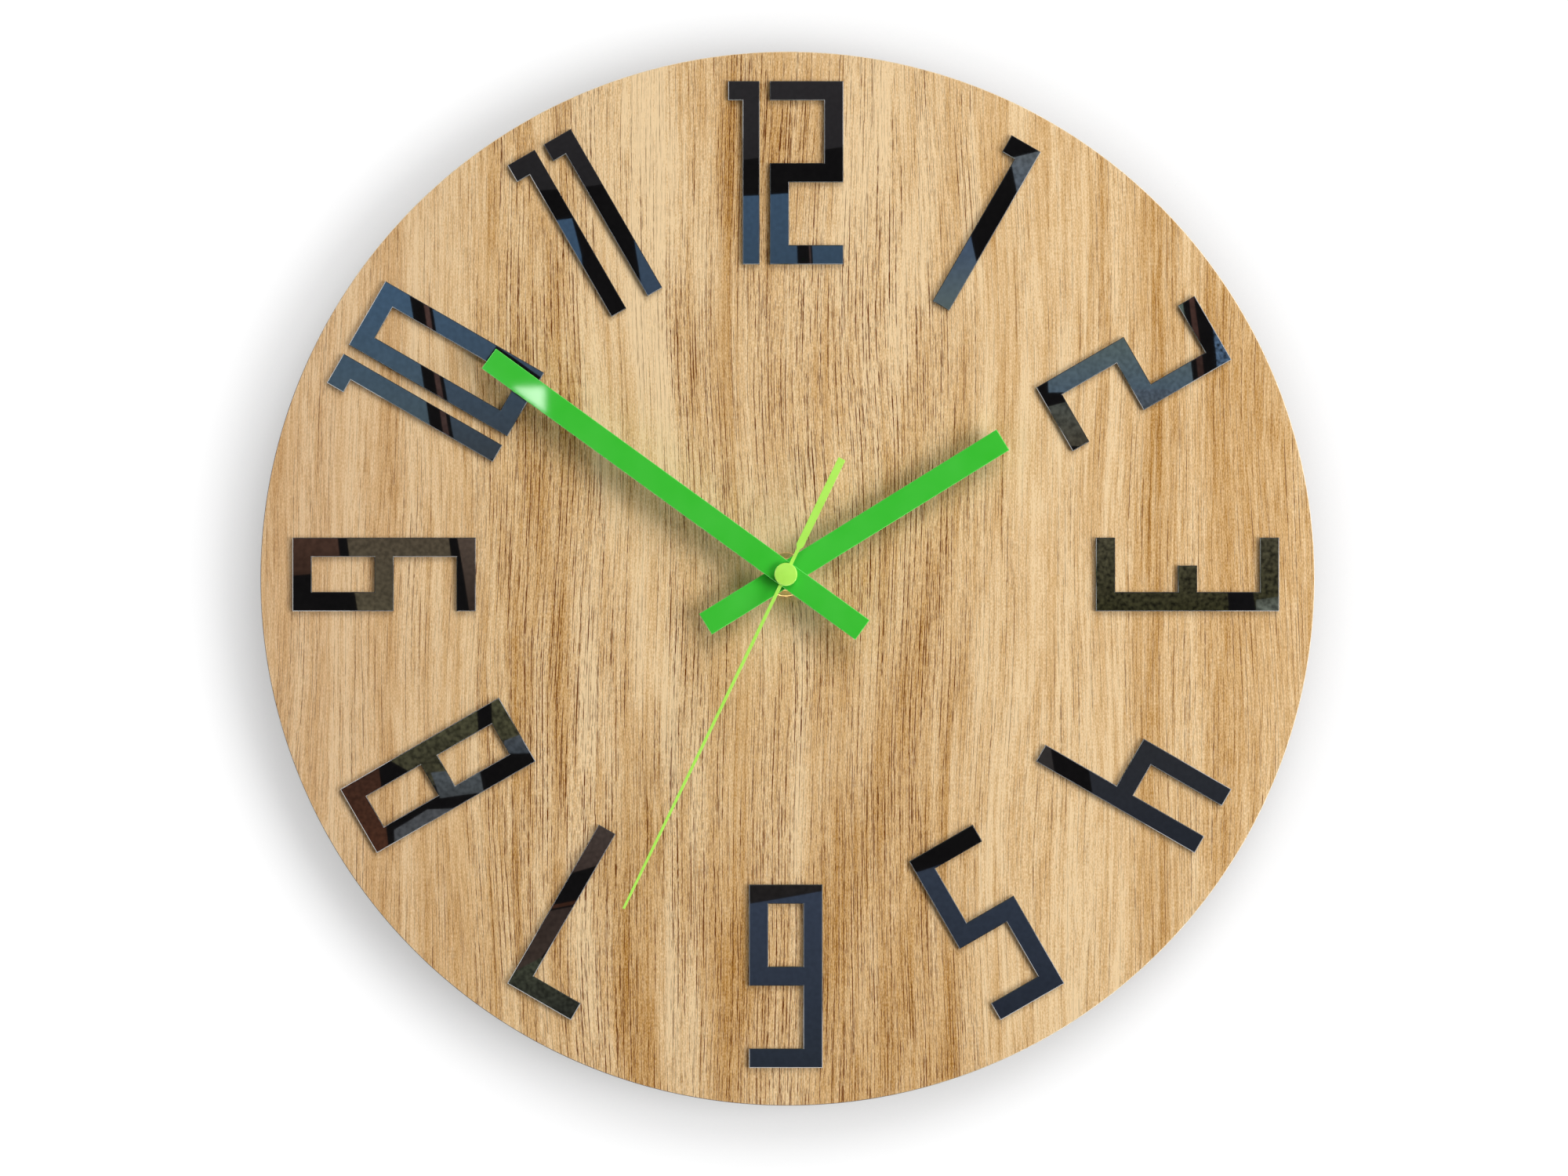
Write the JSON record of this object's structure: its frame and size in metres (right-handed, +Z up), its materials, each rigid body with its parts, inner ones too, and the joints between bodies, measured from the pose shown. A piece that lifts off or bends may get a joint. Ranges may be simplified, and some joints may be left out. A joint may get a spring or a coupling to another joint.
{
  "type": "wall clock",
  "caption": "Round oak veneered wall clock with raised black numerals, bar hands, a thin second hand and a battery quartz movement that hangs on a nail.",
  "frame": {"origin": "where the hand axis meets the wall plane, on the back of the movement", "axes": "+Z up, +X right seen from the front, +Y into the wall; the dial faces -Y"},
  "size_m": [0.33, 0.0357, 0.33],
  "materials": {
    "oak_veneer": "satin lacquered oak veneer",
    "board_core": "laser cut board edge",
    "black_acrylic": "polished cast acrylic",
    "green_acrylic": "polished cast acrylic",
    "lime_metal": "lime lacquered sheet",
    "brass": "turned brass",
    "black_rubber": "matt rubber",
    "case_plastic": "moulded plastic",
    "gear_plastic": "moulded acetal",
    "steel": "plated steel",
    "magnet": "sintered magnet",
    "copper_wire": "enamelled copper wire",
    "circuit_laminate": "paper laminate",
    "chip_resin": "black potting resin",
    "crystal_can": "tinned can",
    "battery_jacket": "printed film jacket"
  },
  "bodies": {
    "case": {"front_veneer": "oak_veneer", "back_veneer": "oak_veneer", "board_core": "board_core", "numeral_1": "black_acrylic", "numeral_2": "black_acrylic", "numeral_3": "black_acrylic", "numeral_4": "black_acrylic", "numeral_5": "black_acrylic", "numeral_6": "black_acrylic", "numeral_7": "black_acrylic", "numeral_8": "black_acrylic", "numeral_9": "black_acrylic", "numeral_10": "black_acrylic", "numeral_11": "black_acrylic", "numeral_12": "black_acrylic", "clamp_washer": "brass", "clamp_nut": "brass", "threaded_bushing": "brass", "rubber_gasket": "black_rubber", "movement_front_case": "case_plastic", "movement_rear_cover": "case_plastic", "hanging_eye": "case_plastic", "middle_plate": "gear_plastic", "coil_bobbin": "gear_plastic", "stator_plate": "steel", "coil_core": "steel", "contact_positive": "steel", "contact_negative": "steel", "coil_winding": "copper_wire", "circuit_board": "circuit_laminate", "timing_chip": "chip_resin", "quartz_crystal": "crystal_can"},
    "minute_hand": {"minute_hand": "green_acrylic", "minute_pipe": "gear_plastic", "centre_wheel": "gear_plastic"},
    "hour_hand": {"hour_hand": "green_acrylic", "hour_wheel": "gear_plastic"},
    "second_hand": {"second_hand": "lime_metal", "second_hand_cap": "lime_metal", "second_arbor": "steel", "second_wheel": "gear_plastic"},
    "third_wheel": {"third_wheel": "gear_plastic"},
    "intermediate_wheel": {"intermediate_wheel": "gear_plastic"},
    "rotor": {"rotor_pinion": "gear_plastic", "rotor_magnet": "magnet"},
    "minute_wheel": {"minute_wheel": "gear_plastic"},
    "setting_knob": {"setting_knob": "case_plastic"},
    "battery": {"battery": "battery_jacket"}
  },
  "joints": [
    {"name": "minute_hand_spin", "type": "hinge", "parent": "case", "child": "minute_hand", "pos_m": [0, 0, 0], "axis": [0, 1, 0], "continuous": true},
    {"name": "hour_hand_spin", "type": "hinge", "parent": "case", "child": "hour_hand", "pos_m": [0, 0, 0], "axis": [0, 1, 0], "continuous": true},
    {"name": "second_hand_spin", "type": "hinge", "parent": "case", "child": "second_hand", "pos_m": [0, 0, 0], "axis": [0, 1, 0], "continuous": true},
    {"name": "third_wheel_spin", "type": "hinge", "parent": "case", "child": "third_wheel", "pos_m": [0.00154, 0, 0.00871], "axis": [0, 1, 0], "continuous": true},
    {"name": "intermediate_wheel_spin", "type": "hinge", "parent": "case", "child": "intermediate_wheel", "pos_m": [-0.0063, 0, 0.00364], "axis": [0, 1, 0], "continuous": true},
    {"name": "rotor_spin", "type": "hinge", "parent": "case", "child": "rotor", "pos_m": [-0.01171, 0, 0.00676], "axis": [0, 1, 0], "continuous": true},
    {"name": "minute_wheel_spin", "type": "hinge", "parent": "case", "child": "minute_wheel", "pos_m": [0.0084, 0, 0], "axis": [0, 1, 0], "continuous": true},
    {"name": "setting_knob_spin", "type": "hinge", "parent": "case", "child": "setting_knob", "pos_m": [0.0126, 0, 0.00727], "axis": [0, 1, 0], "continuous": true},
    {"name": "battery_slide", "type": "slide", "parent": "case", "child": "battery", "axis": [0, 1, 0], "range_m": [0, 0.02]}
  ],
  "couplings": [
    {"joint": "hour_hand_spin", "follows": "minute_hand_spin", "ratio": 0.083333},
    {"joint": "second_hand_spin", "follows": "minute_hand_spin", "ratio": 60},
    {"joint": "third_wheel_spin", "follows": "minute_hand_spin", "ratio": -8},
    {"joint": "intermediate_wheel_spin", "follows": "minute_hand_spin", "ratio": -360},
    {"joint": "rotor_spin", "follows": "minute_hand_spin", "ratio": 1800},
    {"joint": "minute_wheel_spin", "follows": "minute_hand_spin", "ratio": -0.33333},
    {"joint": "setting_knob_spin", "follows": "minute_hand_spin", "ratio": 1}
  ]
}
